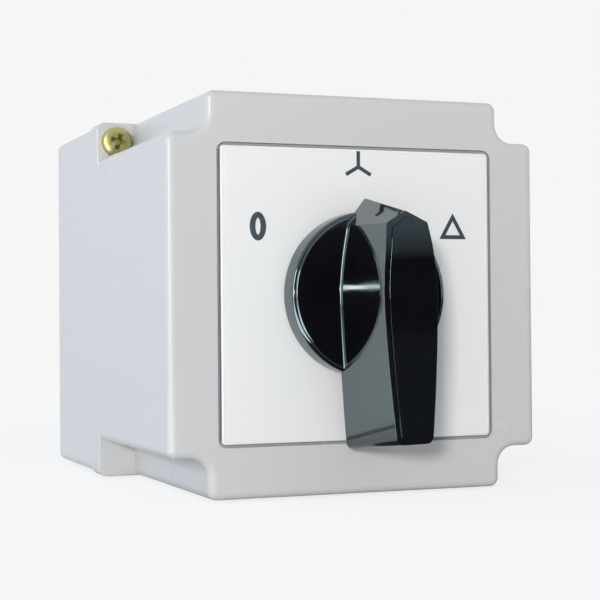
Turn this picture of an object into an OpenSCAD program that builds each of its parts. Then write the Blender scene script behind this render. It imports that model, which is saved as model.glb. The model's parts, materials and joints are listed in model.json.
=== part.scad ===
// Enclosed star-delta cam switch with three positions: 0, star and delta.
// Each part is drawn with x to the right and y up on the front face, and z as the distance from the wall.
// The module on_wall() then stands it up: +Z is up, and the front faces -Y.

/* [Enclosure] */
// Width and height of the cover
case_w = 82; // [80:0.5:88]
// Distance from the wall to the cover's front face
case_depth = 101; // [100:0.5:105]
// Depth of the base tray, from the wall to the seam
base_depth = 36.5; // [34:0.5:37.5]
// How far the base's sides sit inside the cover's sides
seam_step = 0.4; // [0.2:0.1:0.6]
// Wall thickness of cover and base
wall_t = 2.6; // [2.4:0.1:3]
// Thickness of the base's floor
floor_t = 3; // [2.5:0.1:4]
// Thickness of the cover's front wall
front_t = 3.5; // [3.3:0.1:4]
// Corner radius of the base and of the cover's flange
corner_r = 2; // [1:0.1:3]
// Thickness of the cover's flange at the corners
flange_t = 7.3; // [6:0.1:8]

/* [Corner notches] */
// Width of each corner notch
notch_w = 8.5; // [8:0.1:9]
// Radius of the inner corner of a notch
notch_r = 4; // [3.9:0.1:4.5]
// Radius of the outer corners beside a notch
tip_r = 1.8; // [1.6:0.1:2.2]
// Rounding of the cover's front edge
front_r = 1.7; // [1:0.1:1.8]

/* [Cover screws] */
// Thread diameter of the cover screws
cover_screw_d = 4; // [3.5:0.1:4.2]
// Length of a cover screw under its head
cover_screw_len = 15; // [14:0.5:16]
// Head diameter of a cover screw
cover_head_d = 7; // [6.5:0.1:7.4]
// Head height of a cover screw
cover_head_h = 2.6; // [2.2:0.1:3]
// Distance from the case's side to a cover screw's axis
cover_screw_inset = 4.6; // [4.4:0.1:4.8]
// Outer diameter of the threaded inserts in the base
insert_d = 6; // [5.5:0.1:6.2]
// Length of the threaded inserts
insert_len = 9; // [8:0.5:10]
// Width of the base's corner posts
post_w = 10.6; // [10.4:0.1:11]

/* [Gasket] */
// Width of the gasket between base and cover
gasket_w = 1.2; // [1:0.1:1.4]
// Height of that gasket, and depth of its groove
gasket_h = 1.2; // [0.8:0.1:1.6]

/* [Wall fixing] */
// Distance between the wall screws, across and up
fix_pitch = 50; // [46:0.5:51]
// Diameter of the holes for the wall screws
fix_d = 4.6; // [4.2:0.1:5]
// Diameter of the boss round each hole
fix_boss_d = 10; // [9:0.5:11]
// Height of that boss over the floor
fix_boss_h = 2; // [1:0.5:3]

/* [Cable knock-outs] */
// Diameter of a knock-out
knock_d = 20.4; // [18:0.2:21]
// Distance between the two knock-outs of a side
knock_pitch = 34; // [30:0.5:35]
// Width of the groove round a knock-out
knock_groove = 1; // [0.8:0.1:1.2]
// Thickness left under that groove
knock_web = 0.8; // [0.6:0.1:1]

/* [Earth terminal] */
// Side of the earth terminal block
earth_w = 9; // [8:0.5:10]
// Length of the block along the floor
earth_len = 14; // [13:0.5:16]
// Height of the block
earth_h = 8; // [7:0.5:9]
// Thread diameter of the earth screws
earth_screw_d = 4; // [3.5:0.1:4.2]
// Head diameter of the earth screws
earth_head_d = 6; // [5.4:0.1:6.2]
// Diameter of the wire hole through the block
earth_wire_d = 4; // [3:0.1:4.2]
// Gap between the block and the base's wall
earth_gap = 0.5; // [0.2:0.1:1]

/* [Legend plate] */
// Width and height of the legend plate
legend_w = 60; // [56:0.5:62]
// Thickness of the plate
legend_t = 1; // [0.8:0.1:1.2]
// Depth of its recess in the cover
legend_sink = 0.8; // [0.6:0.1:0.9]
// Gap round the plate in its recess
legend_gap = 0.6; // [0.4:0.1:0.8]
// Corner radius of the plate
legend_r = 1.2; // [0.8:0.1:2]
// Width of the plate's bevelled edge
legend_bevel = 0.45; // [0.3:0.05:0.7]
// Height of that bevel
legend_bevel_h = 0.2; // [0.1:0.05:0.3]
// Thickness of the printed ink
ink_t = 0.08; // [0.05:0.01:0.15]

/* [Symbols] */
// Distance from the shaft to the middle of the zero
zero_reach = 26; // [24:0.2:27]
// Angle that the handle turns from one position to the next
throw = 60; // [45:15:60]
// Angle of the printed zero and delta from the star
symbol_angle = 58; // [56:0.5:61]
// Width of the zero
zero_w = 3.5; // [3:0.1:4]
// Height of the zero
zero_h = 5.8; // [5:0.1:6.5]
// Line width of the zero
zero_line = 1.2; // [0.9:0.05:1.3]
// Distance from the shaft to the middle of the star
star_reach = 26.3; // [25:0.1:27]
// Length of the star's two lower arms
star_arm = 3.2; // [2.5:0.1:3.6]
// Line width of the star
star_line = 0.75; // [0.5:0.05:0.9]
// Distance from the shaft to the middle of the delta
delta_reach = 25.4; // [24:0.2:26.5]
// Width of the delta
delta_w = 6.2; // [5:0.1:6.6]
// Height of the delta
delta_h = 5.4; // [4.5:0.1:6]
// Line width of the delta
delta_line = 0.8; // [0.5:0.05:0.9]

/* [Handle] */
// Diameter of the handle's disc
disc_d = 33.6; // [32:0.2:35]
// Height of the disc's face over the cover
disc_h = 6.2; // [5.8:0.1:6.6]
// Rounding of the disc's rim
disc_r = 0.5; // [0.4:0.1:1]
// Gap between the disc and the legend plate
handle_gap = 0.4; // [0.3:0.1:0.7]
// Height of the lever's front face over the cover
lever_h = 25.4; // [24.6:0.2:28]
// Height of the lever's underside over the cover, outside the disc
lever_under = 4.6; // [3.6:0.1:5]
// How far the lever leans back from upright at rest, from play in its socket
handle_lean = 1.3; // [0:0.1:2]
// Reach of the lever's tip at its front face
tip_front = 15.7; // [15:0.1:17]
// Reach of the lever's tip at its base
tip_base = 19.6; // [18.5:0.1:20]
// Reach of the shoulders beside the tip, at the front face
shoulder_front = 13.4; // [12.5:0.1:14]
// Reach of the shoulders at the base
shoulder_base = 14; // [13.6:0.1:14.6]
// Half width at the shoulders, at the front face
shoulder_hw_front = 4.3; // [3.8:0.1:4.6]
// Half width at the shoulders, at the base
shoulder_hw_base = 4.6; // [4.2:0.1:5]
// Half width of the lever's middle at its front face
bulge_front = 5.6; // [5.3:0.1:6]
// Half width of the lever's middle at its base
bulge_base = 6.7; // [6.2:0.1:7]
// Reach of the grip's end at its front face
grip_front = 29.1; // [27:0.1:29.4]
// Reach of the grip's end at its base
grip_base = 31.2; // [30.6:0.1:31.8]
// Half width of the grip's end at its front face
grip_hw_front = 3.9; // [3.6:0.1:4.2]
// Half width of the grip's end at its base
grip_hw_base = 5.7; // [5.4:0.1:6]
// Corner radius of the grip's end
grip_r = 1.5; // [1.4:0.1:1.8]
// Rounding of the lever's front edge
lever_r = 0.8; // [0.4:0.1:1]
// Width of the lever's rim round its front cap
cap_rim = 1; // [0.9:0.1:1.1]
// Thickness of the front cap
cap_t = 1.5; // [1.2:0.1:2]
// Gap round the front cap
cap_gap = 0.12; // [0.08:0.02:0.2]
// Wall thickness of the disc's rim and face
disc_wall = 2; // [1.6:0.1:2.4]
// Diameter of the handle's hub
hub_d = 15; // [14:0.5:17]

/* [Handle screw] */
// Thread diameter of the handle screw
handle_screw_d = 4; // [3.5:0.1:4]
// Length of the handle screw under its head
handle_screw_len = 12; // [10:0.5:13]
// Head diameter of the handle screw
handle_head_d = 7; // [6.5:0.1:7.2]
// Head height of the handle screw
handle_head_h = 2.5; // [2:0.1:2.7]
// Thickness of the web between shaft and screw head
handle_web = 2.4; // [2:0.1:2.8]
// Diameter of the well over the handle screw
well_d = 8; // [7.6:0.1:8.2]

/* [Shaft] */
// Side of the square shaft
shaft_sq = 6; // [5.8:0.1:6.2]
// Diameter of the shaft's front journal
journal_d = 9; // [8.8:0.1:9.4]
// Diameter of the shaft's rear journal
rear_journal_d = 5.6; // [5:0.1:5.7]
// How far the square end stands out from the cover
shaft_out = 17.4; // [16.4:0.2:18]
// Radial clearance of a running fit
run_clear = 0.05; // [0.03:0.01:0.08]
// Clearance on each side of a piece pushed onto the square
fit_clear = 0.08; // [0.05:0.01:0.15]
// Radial clearance of a thread in its hole
thread_clear = 0.05; // [0.03:0.01:0.1]
// Outer diameter of the shaft seal
seal_d = 14; // [13:0.2:15]

/* [Latch] */
// Width and height of the switch body
body_w = 48; // [47:0.5:50]
// Depth of the latch housing
latch_t = 13; // [12:0.5:14]
// Thickness of the plate behind the latch
latch_plate_t = 2; // [1.6:0.1:2.4]
// Distance from the switch body's sides to the mounting screws
mount_inset = 6; // [5.5:0.1:6.5]
// Thread diameter of the mounting screws
mount_screw_d = 4; // [3.5:0.1:4]
// Length of a mounting screw from its flat head's face
mount_screw_len = 12; // [11:0.5:12.5]
// Head diameter of the mounting screws
mount_head_d = 7.6; // [7:0.1:8]
// Height of the mounting screws' flat heads
mount_head_h = 2; // [1.8:0.1:2.3]
// Radius of the detent wheel as a share of the body's half width
wheel_share = 0.46; // [0.44:0.01:0.46]
// Thickness of the detent wheel
wheel_t = 5.5; // [5:0.1:5.8]
// Radius of the wheel's notches
wheel_notch_r = 2.6; // [2:0.1:2.8]
// Number of notches round the wheel
wheel_notches = 6; // [4:1:8]
// Clearance at the wheel's and the cams' faces
face_clear = 0.5; // [0.4:0.1:0.7]
// Width of the detent sliders
slider_w = 7.8; // [7:0.1:8]
// Radius of a slider's nose
nose_r = 2.5; // [2:0.1:2.8]
// Travel of a detent slider
slider_travel = 2; // [1.6:0.1:2.2]
// Gap between a follower and the wheel or cam that it rides on
follower_gap = 0.3; // [0.2:0.05:0.4]
// Clearance on each side of a slider or plunger in its guide
guide_clear = 0.15; // [0.1:0.05:0.2]
// Outer wall of the latch housing and of the contact chambers
outer_wall = 2; // [1.6:0.1:2.4]

/* [Contact chambers] */
// Number of contact chambers
stages = 4; // [3:1:4]
// Depth of one chamber
stage_t = 9.6; // [9.4:0.1:9.8]
// Thickness of a chamber's rear web
web_t = 1.6; // [1.4:0.1:1.8]
// Outer radius of a cam as a share of the body's half width
cam_share = 0.44; // [0.42:0.01:0.45]
// Thickness of a cam
cam_t = 7; // [6.6:0.1:7]
// Depth of a cam's notches
cam_notch = 2.2; // [1.8:0.1:2.4]
// Travel of a plunger, which is the opening of a contact
stroke = 2.4; // [2:0.1:2.6]
// Width of a plunger
plunger_w = 6; // [5.6:0.1:6.4]
// Height of a plunger along the shaft
plunger_t = 6; // [5.6:0.1:6.2]
// Diameter of the spring peg on a plunger
peg_d = 2.4; // [2:0.1:2.6]
// Room between the fixed contact strips and the outer wall
strip_room = 8.2; // [8:0.1:8.3]
// Thickness of the contact strips and bridges
strip_t = 0.8; // [0.7:0.05:0.9]
// Width of the contact strips and bridges
strip_w = 5; // [4.6:0.1:5.4]
// Diameter of a contact tip
contact_d = 3.6; // [3.2:0.1:4]
// Thickness of a contact tip
contact_t = 0.8; // [0.7:0.05:0.9]
// How far out a contact tip sits, as a share of the way to its terminal screw
contact_share = 0.5; // [0.48:0.01:0.52]
// Gap left between closed contact tips
contact_gap = 0.1; // [0.05:0.05:0.15]
// Wall between a bridge's pocket and the terminals
pocket_wall = 0.9; // [0.8:0.1:1]

/* [Terminals] */
// Thread diameter of the terminal screws
term_screw_d = 3.5; // [3:0.1:3.6]
// Length of a terminal screw under its head
term_screw_len = 8; // [7:0.5:9]
// Head diameter of a terminal screw
term_head_d = 6.2; // [5.8:0.1:6.4]
// Head height of a terminal screw
term_head_h = 2.2; // [1.8:0.1:2.6]
// Distance from the body's side to a terminal screw
term_inset = 5.2; // [4.9:0.1:5.6]

/* [Tie bolts] */
// Diameter of the tie bolts
tie_d = 3.4; // [3:0.1:3.6]
// Distance from the body's side to a tie bolt
tie_inset = 4; // [3.5:0.1:4.5]
// How far a tie bolt goes into the latch housing
tie_grip = 9; // [8:0.5:10]
// Head diameter of a tie bolt
tie_head_d = 6; // [5.6:0.1:6.4]
// Head height of a tie bolt
tie_head_h = 2.4; // [2:0.1:2.8]
// Thickness of the end plate
end_t = 3; // [2.6:0.1:3.4]

/* [Springs] */
// Mean radius of a contact spring
contact_coil_r = 1.9; // [1.7:0.1:2]
// Wire diameter of a contact spring
contact_wire_d = 0.5; // [0.4:0.05:0.6]
// Turns of a contact spring
contact_turns = 4; // [3:1:5]
// Mean radius of a detent spring
detent_coil_r = 2; // [1.8:0.1:2.2]
// Wire diameter of a detent spring
detent_wire_d = 0.6; // [0.5:0.05:0.7]
// Turns of a detent spring
detent_turns = 3; // [2:1:4]

/* [Hidden] */
$fn = 64;
// Overrun of a cut past the face that it opens
cut = 0.5;
// Facets in a rounded corner of an outline
arc_steps = 4;
// Facets from front to side of the cover's rounded edge
edge_steps = 5;
// Points along one side of the lever
side_steps = 9;
// How sharply the lever's sides bend at the middle
bulge_power = 1.6;
// Sides of a spring's wire and rings in one of its turns
wire_sides = 6;
turn_rings = 10;
// Smallest corner radius of an outline
least_r = 0.2;
// Angle between the points of the zero, and of a cam's outline
zero_step = 12;
cam_step = 5;
// Width of a cross recess as a share of its head
recess_share = 0.55;

half_case = case_w / 2;
base_w = case_w - 2 * seam_step;
half_base = base_w / 2;
front_in = case_depth - front_t;
flange_front = base_depth + flange_t;
screw_at = half_case - cover_screw_inset;
latch_back = front_in - latch_t;
latch_plate_back = latch_back - latch_plate_t;
stack_back = latch_plate_back - stages * stage_t;
end_back = stack_back - end_t;
legend_back = case_depth - legend_sink;
legend_face = legend_back + legend_t;
disc_back = legend_face + handle_gap;
disc_face = case_depth + disc_h;
lever_back = case_depth + lever_under;
lever_face = case_depth + lever_h;
shaft_end = case_depth + shaft_out;
web_back = shaft_end + run_clear;
well_floor = web_back + handle_web;
half_body = body_w / 2;
mount_pitch = body_w - 2 * mount_inset;
tie_pitch = body_w - 2 * tie_inset;
term_reach = half_body - term_inset;
contact_reach = term_reach * contact_share;
wheel_r = half_body * wheel_share;
cam_r = half_body * cam_share;
wheel_back = latch_back + face_clear;
latch_pocket = wheel_t + 2 * face_clear;
wall_inside = half_body - outer_wall;
strip_reach = wall_inside - strip_room;
slider_start = wheel_r + follower_gap;
// The spring behind a slider still has room for its coils at the end of the travel
slider_end = wall_inside - (detent_turns + 1) * detent_wire_d - guide_clear - slider_travel;
slider_len = slider_end - slider_start;
cam_back = web_t + face_clear;
strip_mid = web_t + (stage_t - web_t) / 2;
plunger_start = cam_r + follower_gap;
bridge_reach = strip_reach + strip_t + 2 * contact_t + contact_gap;
bridge_back = bridge_reach + strip_t;
// A plunger's peg stays clear of the outer wall at the end of its stroke
peg_len = wall_inside - bridge_back - stroke - face_clear;
bridge_half = contact_reach + contact_d / 2 + strip_t;
pocket_half = bridge_half + strip_t;
terminal_start = pocket_half + pocket_wall;
strip_start = plunger_w / 2 + 2 * guide_clear + strip_t;
strip_end = half_body - strip_t;
square_d = shaft_sq + 2 * fit_clear;

shell_grey = [0.80, 0.80, 0.79];
base_grey = [0.80, 0.80, 0.79];
black_plastic = [0.05, 0.05, 0.06];
satin_metal = [0.90, 0.92, 0.94];
ink_blue = [0.20, 0.25, 0.29];
yellow_zinc = [0.80, 0.70, 0.42];
steel = [0.70, 0.71, 0.73];
brass = [0.78, 0.62, 0.30];
copper = [0.80, 0.47, 0.30];
cream = [0.88, 0.84, 0.74];
cam_red = [0.62, 0.16, 0.12];
rubber = [0.13, 0.13, 0.13];

SIDES = ["right", "left"];

// Back face of a contact chamber, numbered from the front
function stage_back(n) = latch_plate_back - n * stage_t;
// Which way round a left or right hand piece stands
function side_turn(side) = side == "right" ? 0 : 180;
// A point turned about the shaft
function turned(p, a) = [p[0] * cos(a) - p[1] * sin(a), p[0] * sin(a) + p[1] * cos(a)];
// Points of an arc from one angle to another
function arc(centre, r, from, to, steps = arc_steps) =
    [for (k = [0:steps]) let (a = from + (to - from) * k / steps) centre + r * [cos(a), sin(a)]];
// A rectangular and a square outline with round corners
function rounded_rect(w, h, r) =
    concat(
        arc([w / 2 - r, h / 2 - r], r, 0, 90),
        arc([r - w / 2, h / 2 - r], r, 90, 180),
        arc([r - w / 2, r - h / 2], r, 180, 270),
        arc([w / 2 - r, r - h / 2], r, 270, 360));
function rounded_square(w, r) = rounded_rect(w, w, r);
// Inset and distance from the wall, along the rounding of the cover's front edge
front_edge = [for (k = [0:edge_steps]) let (a = 90 * k / edge_steps)
    [front_r * (1 - cos(a)), case_depth - front_r + front_r * sin(a)]];
// One corner of the cover's outline, moved inwards by inset
function notch_corner(inset) =
    let (tip = max(tip_r - inset, least_r), inner = notch_r + inset, side = half_case - inset, ledge = side - notch_w)
    concat(
        arc([side - tip, ledge - tip], tip, 0, 90),
        arc([ledge + inner, ledge + inner], inner, 270, 180),
        arc([ledge - tip, side - tip], tip, 0, 90));
// The cover's outline with its four notches
function notched_outline(inset) = [for (q = [0:3]) for (p = notch_corner(inset)) turned(p, 90 * q)];
// The lever's half width, y above or below the shaft
function lever_hw(y, reach, end_hw, bulge) = bulge - (bulge - end_hw) * pow(abs(y) / reach, bulge_power);
// The right side of the lever's outline, from the grip's end to the tip
function lever_side(tip, shoulder, shoulder_hw, bulge, grip, grip_hw, r) =
    concat(
        arc([grip_hw - r, r - grip], r, 270, 360),
        [for (k = [1:side_steps])
            let (y = r - grip + (grip - r) * k / side_steps)
            [lever_hw(y, grip - r, grip_hw, bulge), y]],
        [for (k = [1:side_steps]) let (y = shoulder * k / side_steps)
            [lever_hw(y, shoulder, shoulder_hw, bulge), y]],
        [[0, tip]]);
// The whole outline, with its left side mirrored from the right
function lever_outline(side) = concat(side, [for (k = [len(side) - 2:-1:0]) [-side[k][0], side[k][1]]]);
function lever_front(inset) = lever_outline(lever_side(
    tip_front - inset, shoulder_front - inset, shoulder_hw_front - inset, bulge_front - inset,
    grip_front - inset, grip_hw_front - inset, grip_r - inset));
function lever_base() = lever_outline(lever_side(
    tip_base, shoulder_base, shoulder_hw_base, bulge_base, grip_base, grip_hw_base, grip_r));

// Stands a part up, from lying on its back
module on_wall() {
    rotate([90, 0, 0]) children();
}

// A closed solid through outlines of equal length, each at its own height
module loft(rings, heights) {
    n = len(rings[0]);
    last = len(rings) - 1;
    points = [for (k = [0:last]) for (p = rings[k]) [p[0], p[1], heights[k]]];
    sides = [for (k = [0:last - 1]) for (i = [0:n - 1])
        let (a = k * n + i, b = k * n + (i + 1) % n)
        each [[a, b + n, b], [a, a + n, b + n]]];
    ends = [[for (i = [0:n - 1]) i], [for (i = [n - 1:-1:0]) last * n + i]];
    polyhedron(points, concat(sides, ends));
}

// A round spring along z, from 0 to its length
module coil_spring(length, r, wire, turns) {
    climb = length - wire;
    rings = turns * turn_rings;
    ring = [for (k = [0:rings]) let (a = 360 * k / turn_rings)
        [for (s = [0:wire_sides - 1]) let (b = 360 * s / wire_sides, out = r + wire / 2 * cos(b))
            [out * cos(a), out * sin(a), wire / 2 + climb * k / rings + wire / 2 * sin(b)]]];
    skin = [for (k = [0:rings - 1]) for (s = [0:wire_sides - 1])
        let (a = k * wire_sides + s, b = k * wire_sides + (s + 1) % wire_sides)
        each [[a, b, b + wire_sides], [a, b + wire_sides, a + wire_sides]]];
    ends = [[for (s = [wire_sides - 1:-1:0]) s], [for (s = [0:wire_sides - 1]) rings * wire_sides + s]];
    polyhedron([for (one = ring) each one], concat(skin, ends));
}

// A cross recess, cut down from z = 0
module cross_recess(width) {
    for (a = [0, 90])
        rotate(a) translate([-width / 2, -width / 8, -width / 3]) cube([width, width / 4, width]);
}

// A screw along z with its head's seat at 0 and a rounded head above
module pan_screw(d, length, head_d, head_h) {
    crown = head_h / 2;
    difference() {
        union() {
            translate([0, 0, -length]) cylinder(h = length, d = d);
            rotate_extrude() polygon(concat(
                [[0, 0], [head_d / 2, 0]],
                [for (k = [0:arc_steps]) let (a = 90 * k / arc_steps)
                    [head_d / 2 - crown + crown * cos(a), head_h - crown + crown * sin(a)]],
                [[0, head_h]]));
        }
        translate([0, 0, head_h]) cross_recess(head_d * recess_share);
    }
}

// A screw along z with a flat head, its face at 0
module flat_screw(d, length, head_d, head_h) {
    difference() {
        rotate_extrude() polygon([[0, -length], [d / 2, -length], [d / 2, -head_h], [head_d / 2, 0], [0, 0]]);
        cross_recess(head_d * recess_share);
    }
}

// The places of two cover screws, on the corners at the top left and the bottom right
module at_cover_screws() {
    for (a = [90, 270])
        rotate(a) translate([screw_at, screw_at]) children();
}

// Four places on a square about the shaft
module at_square(pitch) {
    for (x = [-pitch / 2, pitch / 2])
        for (y = [-pitch / 2, pitch / 2])
            translate([x, y]) children();
}

// The two tie bolts
module at_ties() {
    for (y = [-tie_pitch / 2, tie_pitch / 2])
        translate([0, y]) children();
}

// A bar along z, square about the shaft
module square_bar(side, from, to) {
    translate([-side / 2, -side / 2, from]) cube([side, side, to - from]);
}

// The two sides of the switch body, with x pointing outwards
module both_sides() {
    for (side = SIDES)
        rotate(side_turn(side)) children();
}

module knock_out_grooves() {
    mid = (floor_t + base_depth) / 2;
    depth = wall_t - knock_web;
    for (a = [0, 180])
        rotate(a)
            for (x = [-knock_pitch / 2, knock_pitch / 2])
                translate([x, half_base - depth, mid]) rotate([-90, 0, 0]) difference() {
                    cylinder(h = depth + cut, d = knock_d + 2 * knock_groove);
                    translate([0, 0, -cut]) cylinder(h = depth + 3 * cut, d = knock_d);
                }
}

module base_box() {
    inside_w = base_w - 2 * wall_t;
    color(base_grey) on_wall() difference() {
        union() {
            difference() {
                linear_extrude(base_depth) polygon(rounded_square(base_w, corner_r));
                translate([0, 0, floor_t])
                    linear_extrude(base_depth) polygon(rounded_square(inside_w, corner_r / 2));
            }
            for (q = [0:3])
                rotate(90 * q)
                    translate([half_base - post_w, half_base - post_w, floor_t / 2])
                        cube([post_w - wall_t / 2, post_w - wall_t / 2, base_depth - floor_t / 2]);
            at_square(fix_pitch) cylinder(h = floor_t + fix_boss_h, d = fix_boss_d);
        }
        at_square(fix_pitch) translate([0, 0, -cut]) cylinder(h = floor_t + fix_boss_h + 2 * cut, d = fix_d);
        at_cover_screws() translate([0, 0, base_depth - insert_len]) cylinder(h = insert_len + cut, d = insert_d);
        knock_out_grooves();
        translate([0, 0, base_depth - gasket_h]) linear_extrude(gasket_h + cut) gasket_outline();
    }
}

// The gasket follows the cover's walls, inside the screws
module gasket_outline() {
    inset = seam_step + (wall_t - seam_step - gasket_w) / 2;
    difference() {
        polygon(notched_outline(inset));
        polygon(notched_outline(inset + gasket_w));
    }
}

module cover_gasket() {
    color(rubber) on_wall()
        translate([0, 0, base_depth - gasket_h]) linear_extrude(gasket_h) gasket_outline();
}

module thread_inserts() {
    color(brass) on_wall() at_cover_screws()
        translate([0, 0, base_depth - insert_len]) difference() {
            cylinder(h = insert_len, d = insert_d);
            translate([0, 0, -cut]) cylinder(h = insert_len + 2 * cut, r = cover_screw_d / 2 + thread_clear);
        }
}

module cover_screws() {
    color(yellow_zinc) on_wall() at_cover_screws()
        translate([0, 0, flange_front]) pan_screw(cover_screw_d, cover_screw_len, cover_head_d, cover_head_h);
}

// Side view of a block that is rounded along its front edges
module block_profile(w) {
    polygon(concat(
        [[-w / 2, flange_front], [w / 2, flange_front]],
        [for (p = front_edge) [w / 2 - p[0], p[1]]],
        [for (k = [edge_steps:-1:0]) [front_edge[k][0] - w / 2, front_edge[k][1]]]));
}

// A block on the flange, w wide and h high
module rounded_block(w, h) {
    intersection() {
        translate([0, h / 2, 0]) rotate([90, 0, 0]) linear_extrude(h) block_profile(w);
        translate([-w / 2, 0, 0]) rotate([90, 0, 90]) linear_extrude(w) block_profile(h);
        translate([0, 0, flange_front]) linear_extrude(case_depth) polygon(rounded_rect(w, h, tip_r));
    }
}

// The hollow that rounds the inner corner of a notch, opening out towards the front edge
module notch_hollow() {
    rotate_extrude() polygon(concat(
        [[0, flange_front - cut], [notch_r, flange_front - cut]],
        [for (p = front_edge) [notch_r + p[0], p[1]]],
        [[notch_r + front_r, case_depth + cut], [0, case_depth + cut]]));
}

module cover_body() {
    narrow = case_w - 2 * notch_w;
    centre = half_case - notch_w + notch_r;
    fill = notch_r + front_r;
    rounded_block(case_w, narrow);
    rounded_block(narrow, case_w);
    for (q = [0:3])
        rotate(90 * q) translate([centre, centre, 0]) difference() {
            translate([-fill, -fill, flange_front]) cube([fill, fill, case_depth - flange_front]);
            notch_hollow();
        }
}

module cover() {
    color(shell_grey) on_wall() difference() {
        union() {
            translate([0, 0, base_depth]) linear_extrude(flange_t) polygon(rounded_square(case_w, corner_r));
            cover_body();
        }
        translate([0, 0, base_depth - cut])
            linear_extrude(front_in - base_depth + cut) polygon(notched_outline(wall_t));
        at_cover_screws() translate([0, 0, base_depth - cut])
            cylinder(h = flange_t + 2 * cut, r = cover_screw_d / 2 + 2 * thread_clear);
        translate([0, 0, legend_back])
            linear_extrude(legend_sink + cut) polygon(rounded_square(legend_w + 2 * legend_gap, legend_r + legend_gap));
        translate([0, 0, front_in - cut]) cylinder(h = front_t + cut, d = seal_d);
        at_square(mount_pitch) mount_hole();
    }
}

// A through hole with a flat head's seat, from the legend's recess inwards
module mount_hole() {
    r = mount_screw_d / 2 + thread_clear;
    head_r = mount_head_d / 2 + thread_clear;
    translate([0, 0, legend_back]) rotate_extrude()
        polygon([[0, -front_t], [r, -front_t], [r, -mount_head_h], [head_r, 0], [head_r, cut], [0, cut]]);
}

module mounting_screws() {
    color(steel) on_wall() at_square(mount_pitch)
        translate([0, 0, legend_back]) flat_screw(mount_screw_d, mount_screw_len, mount_head_d, mount_head_h);
}

module shaft_seal() {
    color(rubber) on_wall() translate([0, 0, front_in]) difference() {
        cylinder(h = legend_back - front_in, d = seal_d);
        translate([0, 0, -cut]) cylinder(h = front_t + cut, r = journal_d / 2 + run_clear);
    }
}

module earth_block() {
    color(brass) on_wall() translate([0, earth_w / 2 + wall_t + earth_gap - half_base, floor_t]) difference() {
        translate([-earth_len / 2, -earth_w / 2]) cube([earth_len, earth_w, earth_h]);
        for (x = [-earth_len / 4, earth_len / 4]) {
            translate([x, 0, earth_wire_d]) cylinder(h = earth_h, r = earth_screw_d / 2 + thread_clear);
            translate([x, -earth_w, earth_h / 2 - cut]) rotate([-90, 0, 0]) cylinder(h = 2 * earth_w, d = earth_wire_d);
        }
    }
}

module earth_screws() {
    color(yellow_zinc) on_wall()
        for (x = [-earth_len / 4, earth_len / 4])
            translate([x, earth_w / 2 + wall_t + earth_gap - half_base, floor_t + earth_h])
                pan_screw(earth_screw_d, earth_h - earth_wire_d, earth_head_d, cover_head_h);
}

module legend_plate() {
    outer = rounded_square(legend_w, legend_r);
    face = rounded_square(legend_w - 2 * legend_bevel, legend_r - legend_bevel);
    color(satin_metal) on_wall() difference() {
        loft([outer, outer, face], [legend_back, legend_face - legend_bevel_h, legend_face]);
        translate([0, 0, legend_back - cut]) cylinder(h = legend_t + 2 * cut, r = journal_d / 2 + 2 * run_clear);
    }
}

module zero_mark() {
    outer = [for (a = [0:zero_step:360 - zero_step]) [zero_w / 2 * cos(a), zero_h / 2 * sin(a)]];
    inner = [for (a = [0:zero_step:360 - zero_step]) [(zero_w / 2 - zero_line) * cos(a), (zero_h / 2 - zero_line) * sin(a)]];
    difference() {
        polygon(outer);
        polygon(inner);
    }
}

module star_mark() {
    translate([-star_line / 2, 0]) square([star_line, legend_w / 2 - legend_bevel - star_reach]);
    for (a = [210, 330])
        rotate(a) translate([0, -star_line / 2]) square([star_arm, star_line]);
}

module delta_mark() {
    side = sqrt(pow(delta_w / 2, 2) + pow(delta_h, 2));
    inner_h = delta_h - delta_line - delta_line * 2 * side / delta_w;
    inner_w = delta_w * inner_h / delta_h;
    difference() {
        polygon([[-delta_w / 2, 0], [delta_w / 2, 0], [0, delta_h]]);
        translate([0, delta_line]) polygon([[-inner_w / 2, 0], [inner_w / 2, 0], [0, inner_h]]);
    }
}

module legend_symbols() {
    color(ink_blue) on_wall() translate([0, 0, legend_face]) linear_extrude(ink_t) {
        translate(turned([0, zero_reach], symbol_angle)) zero_mark();
        translate([0, star_reach]) star_mark();
        translate(turned([0, delta_reach], -symbol_angle) - [0, delta_h / 3]) delta_mark();
    }
}

module handle_disc() {
    rotate_extrude() polygon(concat(
        [[0, disc_back], [disc_d / 2, disc_back]],
        [for (k = [0:edge_steps]) let (a = 90 * k / edge_steps)
            [disc_d / 2 - disc_r + disc_r * cos(a), disc_face - disc_r + disc_r * sin(a)]],
        [[0, disc_face]]));
}

module lever() {
    rotate(handle_lean)
        loft([lever_base(), lever_front(0), lever_front(lever_r / 4), lever_front(lever_r)],
             [lever_back, lever_face - lever_r, lever_face - lever_r / 4, lever_face]);
}

module handle() {
    hollow_h = disc_face - disc_wall - disc_back;
    color(black_plastic) on_wall() difference() {
        union() {
            handle_disc();
            lever();
        }
        // The space under the disc, between its hub and its rim
        translate([0, 0, disc_back - cut]) difference() {
            cylinder(h = hollow_h + cut, d = disc_d - 2 * disc_wall);
            translate([0, 0, -cut]) cylinder(h = hollow_h + 2 * cut, d = hub_d);
        }
        square_bar(square_d, disc_back - cut, web_back);
        translate([0, 0, web_back - cut])
            cylinder(h = handle_web + 2 * cut, r = handle_screw_d / 2 + thread_clear);
        translate([0, 0, well_floor]) cylinder(h = lever_face - well_floor, d = well_d);
        rotate(handle_lean) translate([0, 0, lever_face - cap_t])
            linear_extrude(cap_t + cut) polygon(lever_front(cap_rim));
    }
}

module handle_cap() {
    color(black_plastic) on_wall() rotate(handle_lean) translate([0, 0, lever_face - cap_t])
        linear_extrude(cap_t) polygon(lever_front(cap_rim + cap_gap));
}

module handle_screw() {
    color(steel) on_wall() translate([0, 0, well_floor])
        pan_screw(handle_screw_d, handle_screw_len, handle_head_d, handle_head_h);
}

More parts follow.
